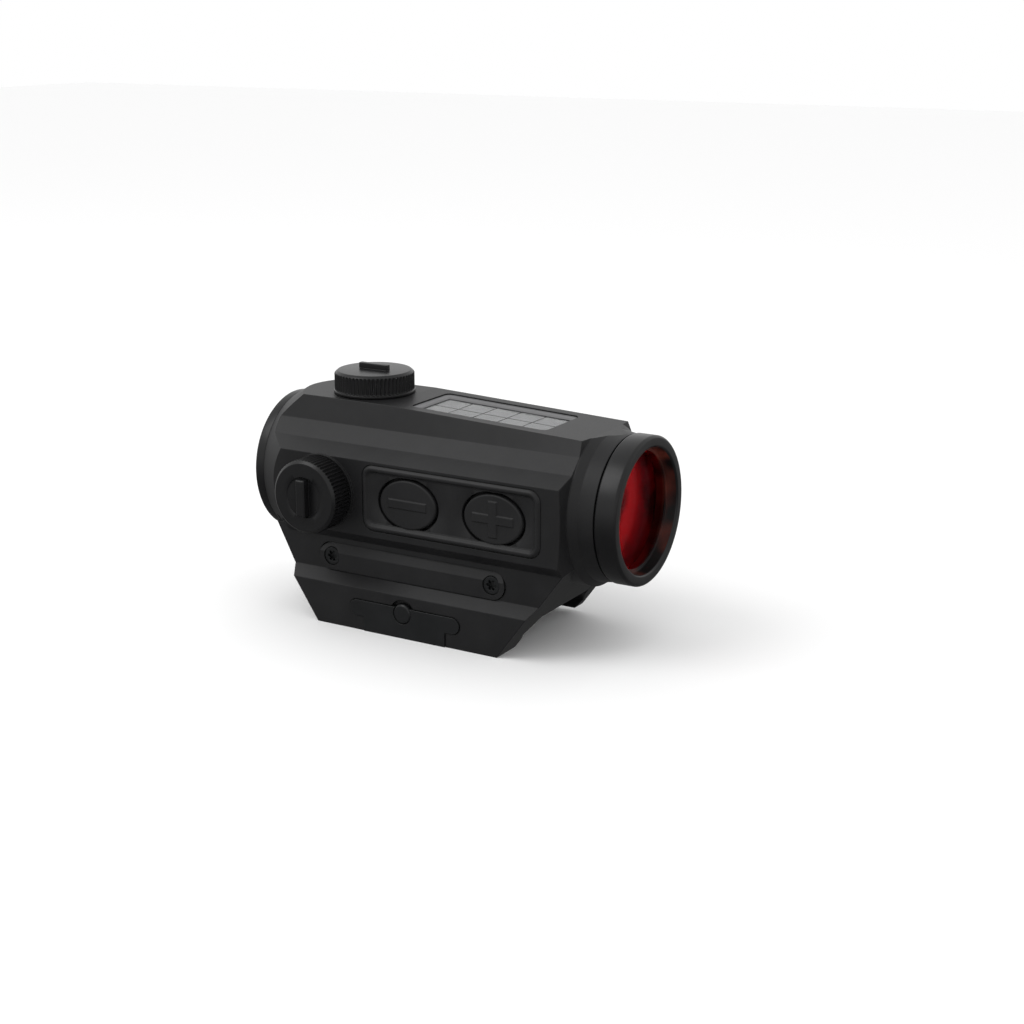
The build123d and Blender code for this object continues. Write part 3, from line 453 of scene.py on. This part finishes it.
def dished_face(columns=720):
    """Cap face on a polar grid.  Inside the 3.55 mm circle the face steps down 0.1 mm, then sinks
    towards the grip bar: at x off the middle it is 0.1 + 0.35 (1 - |x| / 3.55) mm deep."""
    t = np.linspace(0, 2 * math.pi, columns, endpoint=False)
    q = np.concatenate([np.linspace(0.03, 3.42, 40), [3.47, 3.51, 3.55, 3.6, 4.5, 5.6]])[:, None]
    x, up = q * np.cos(t), q * np.sin(t)
    depth = (0.1 + 0.35 * (1 - abs(x) / 3.55)) * np.clip((3.56 - q) / 0.07, 0, 1)
    return np.stack([side_x + x, face_y + depth, side_z + up], axis=-1)


knob_skin = sheet(np.concatenate([dished_face(), knob_side]), pole_start=True, pole_end=True)
bar = soft_corners([(0, face_y + 0.4), (0, bar_y + 0.2), (0.2, bar_y), (0.7, bar_y)], 0.12, 5)
bar_skin = sheet(carried(bar, 0.9, 3.3, 0.25, on_side(side_x, side_z)), pole_start=True, pole_end=True)
piece("windage_turret_cap", [knob_skin, bar_skin], turned, "windage_cap", ["windage_cap"])


def key_rows(name, bars):
    """Rubber key on a polar grid: ring q at angle t lies at (rx q cos t, rz q sin t) from the
    middle.  The face is flat with a rounded shoulder, and stands up by 0.2 mm where the distance
    to the raised sign, the larger of |x| - half width and |z| - half height over its bars, is
    below zero, with a slope 0.16 mm wide."""
    x0, z0 = ((low_of[name] + high_of[name]) / 2)[[0, 2]]
    rx, rz = 5.65, 4.3
    top, flange = -15.5, -13.7
    t = np.linspace(0, 2 * math.pi, 360, endpoint=False)
    q = np.concatenate([np.linspace(0.004, 0.9, 96), np.linspace(0.91, 1.0, 9)])
    x, z = rx * q[:, None] * np.cos(t), rz * q[:, None] * np.sin(t)
    away = np.min([np.maximum(abs(x) - w, abs(z) - h) for w, h in bars], axis=0)
    sign = 0.2 * np.clip(0.5 - away / 0.16, 0, 1)
    shoulder = 0.42 * (1 - np.sqrt(np.clip(1 - (np.clip(q - 0.92, 0, 1) / 0.08) ** 2, 0, 1)))
    face = np.stack([x0 + x, top - sign + shoulder[:, None], z0 + z], axis=-1)
    ring = np.stack([np.cos(t), np.sin(t)], axis=-1)
    wall = [np.stack([x0 + (rx + g) * ring[:, 0], np.full(len(t), y), z0 + (rz + g) * ring[:, 1]], axis=-1)
            for g, y in ((0, flange), (0.75, flange), (0.75, flange + 0.5), (0, flange + 0.5))]
    return np.concatenate([face, np.stack(wall)])


piece("minus_key", [sheet(key_rows("minus_button", [(3.8, 0.75)]), pole_start=True, pole_end=True)],
      silicone, "minus_button", ["minus_button"], sharp=60)
piece("plus_key", [sheet(key_rows("plus_button", [(3.9, 0.75), (0.8, 3.1)]), pole_start=True, pole_end=True)],
      silicone, "plus_button", ["plus_button"], sharp=60)

# Moulded panel: a soft raised border round a sunk floor with two oval openings.
panel_low, panel_high = low_of["button_panel"], high_of["button_panel"]
panel_mid = (panel_low + panel_high) / 2
panel_half = (panel_high - panel_low) / 2
crest, bed, back = panel_low[1], -15.25, panel_high[1]
border = soft_corners([(0, back), (0, crest + 0.42), (0.42, crest), (0.85, crest), (1.3, bed - 0.03),
                       (1.45, bed - 0.03), (1.45, back)], [0, 0.12, 0.16, 0.16, 0.12, 0.05, 0], 5)
border_rings = carried(border, panel_half[0], panel_half[2], 2.15, on_side(panel_mid[0], panel_mid[2]), 10)
border_skin = sheet(border_rings, wrap_rows=True)


def floor_half(key, x_from, x_to):
    """Half of the panel floor: rings that grow from the oval opening to the rectangle.  At angle
    t the inner ring is the oval and the outer is where the ray from the middle meets the
    rectangle, the nearest of its four sides along that ray."""
    x0, z0 = ((low_of[key] + high_of[key]) / 2)[[0, 2]]
    z_from, z_to = panel_low[2] + 0.9, panel_high[2] - 0.9
    t = np.linspace(0, 2 * math.pi, 240, endpoint=False)
    c, s = np.cos(t), np.sin(t)
    with np.errstate(divide="ignore"):
        reach = np.minimum(np.where(c > 0, x_to - x0, x0 - x_from) / np.maximum(abs(c), 1e-9),
                           np.where(s > 0, z_to - z0, z0 - z_from) / np.maximum(abs(s), 1e-9))
    oval = np.stack([x0 + 6.1 * c, z0 + 4.75 * s], axis=-1)
    edge = np.stack([x0 + reach * c, z0 + reach * s], axis=-1)
    rows = [(0, back), (0, bed + 0.14), (0.01, bed + 0.04), (0.035, bed), (1, bed), (1, back)]
    ring = [oval + (edge - oval) * f for f, _ in rows]
    return np.stack([np.stack([p[:, 0], np.full(len(t), y), p[:, 1]], axis=-1)
                     for p, (_, y) in zip(ring, rows)])


halves = [sheet(floor_half("minus_button", panel_low[0] + 0.9, panel_mid[0]), wrap_rows=True),
          sheet(floor_half("plus_button", panel_mid[0], panel_high[0] - 0.9), wrap_rows=True)]
piece("control_panel", [border_skin] + halves, nylon, "housing", ["button_panel"], sharp=50)

# Printed border round the solar cells, just above the window and parallel to the sloping top.
window_mesh = nodes["solar_window"].data
corners = np.empty(len(window_mesh.vertices) * 3)
window_mesh.vertices.foreach_get("co", corners)
corners = corners.reshape(-1, 3) / MM
window_mid = (corners.max(axis=0) + corners.min(axis=0)) / 2
upward = np.linalg.svd(corners - window_mid, full_matrices=False)[2][2]
upward = upward * np.sign(upward[2])
forward = np.cross((0, 1, 0), upward)
cell_mid = (low_of["solar_cells"] + high_of["solar_cells"]) / 2 - window_mid


def frame_ring(f, inset, rise):
    """Ring between two rounded rectangles: f = 0 is the window's outline, f = 1 the cells'
    outline, and it lies rise above the middle of the window along the sloping top's normal."""
    outer = round_box_outline(13.3 - inset, 6.0 - inset, 1.1)
    inner = round_box_outline(12.15 + inset, 4.8 + inset, 0.25 + inset) + (cell_mid @ forward, cell_mid[1])
    flat = outer + (inner - outer) * f
    return window_mid + flat[:, :1] * forward + flat[:, 1:] * np.array((0, 1, 0)) + rise * upward


border_rows = [frame_ring(0, 0, 0.08), frame_ring(0, 0, 0.28), frame_ring(0, 0.04, 0.32),
               frame_ring(1, 0.3, 0.32), frame_ring(1, 0, 0.08)]
piece("solar_border", [sheet(np.stack(border_rows), wrap_rows=True)], mask_film, "housing",
      sharp=50)

# ------------------------------------------------------------------ floor, light, camera
floor_z = float(cad_box[0][2])
span = 1.5                 # half the floor's side, metres
floor_mesh = bpy.data.meshes.new("floor")
floor_mesh.from_pydata([(-span, -span, floor_z), (span, -span, floor_z), (span, span, floor_z),
                        (-span, span, floor_z)], [], [(0, 1, 2, 3)])
floor = bpy.data.objects.new("floor", floor_mesh)
scene.collection.objects.link(floor)
pale, tree = new_material("matt_white_paper")
shader = add(tree, "BsdfPrincipled")
shader.inputs["Base Color"].default_value = hex_linear("#fbfbfb")
shader.inputs["Roughness"].default_value = 0.9
finish_material(tree, shader.outputs["BSDF"])
floor_mesh.materials.append(pale)
floor.visible_glossy = False

world = bpy.data.worlds.new("studio")
scene.world = world
world.use_nodes = True
dome = world.node_tree
backdrop = dome.nodes["Background"]
aim = add(dome, "TexCoord").outputs["Generated"]
height = add(dome, "MapRange", Value=add(dome, "SeparateXYZ", Vector=aim).outputs["Z"])
height.inputs["From Min"].default_value = -1.0
level = add(dome, "ValToRGB", Fac=height.outputs[0])
stops = [(0.3, 0.14), (0.47, 0.54), (0.52, 0.95), (0.75, 1.0), (0.95, 1.0)]
ramp = level.color_ramp.elements
ramp[0].position, ramp[1].position = stops[0][0], stops[-1][0]
for at, _ in stops[1:-1]:
    ramp.new(at)
for stop, (_, tone) in zip(ramp, stops):
    stop.color = (tone, tone, tone, 1)
# The eye sees an even white room; only what the surfaces reflect follows the dome's levels.
seen = add(dome, "Mix", {"data_type": "RGBA"})
dome.links.new(add(dome, "LightPath").outputs["Is Camera Ray"], seen.inputs["Factor"])
dome.links.new(level.outputs["Color"], seen.inputs[6])
seen.inputs[7].default_value = (1, 1, 1, 1)
dome.links.new(seen.outputs[2], backdrop.inputs["Color"])
backdrop.inputs["Strength"].default_value = 1.0


def softbox(name, position, target, size, watts):
    """Square area light at position, aimed at target."""
    lamp = bpy.data.lights.new(name, "AREA")
    lamp.shape = "RECTANGLE"
    lamp.size, lamp.size_y = size
    lamp.energy = watts
    light = bpy.data.objects.new(name, lamp)
    aim = (Vector(target) - Vector(position)).to_track_quat("-Z", "Y")
    light.matrix_world = Matrix.Translation(Vector(position)) @ aim.to_matrix().to_4x4()
    scene.collection.objects.link(light)
    return light


softbox("key_softbox", (-0.22, -0.26, 0.42), (0, 0, 0.01), (0.3, 0.3), 0.8)

azimuth, elevation = math.radians(59.57), math.radians(16.08)
view_right = Vector((math.sin(azimuth), math.cos(azimuth), 0))
view_back = Vector((math.cos(azimuth) * math.cos(elevation), -math.sin(azimuth) * math.cos(elevation),
                    math.sin(elevation)))
view_up = view_back.cross(view_right)
camera_data = bpy.data.cameras.new("camera")
camera_data.sensor_width = 36.0
camera_data.lens = 62.93
camera_data.clip_start = 0.01
camera = bpy.data.objects.new("camera", camera_data)
place = Matrix((view_right, view_up, view_back)).transposed().to_4x4()
place.translation = Vector((160.59, -256.714, 100.69)) * MM
camera.matrix_world = place
scene.collection.objects.link(camera)
scene.camera = camera
scene.view_settings.view_transform = "Standard"
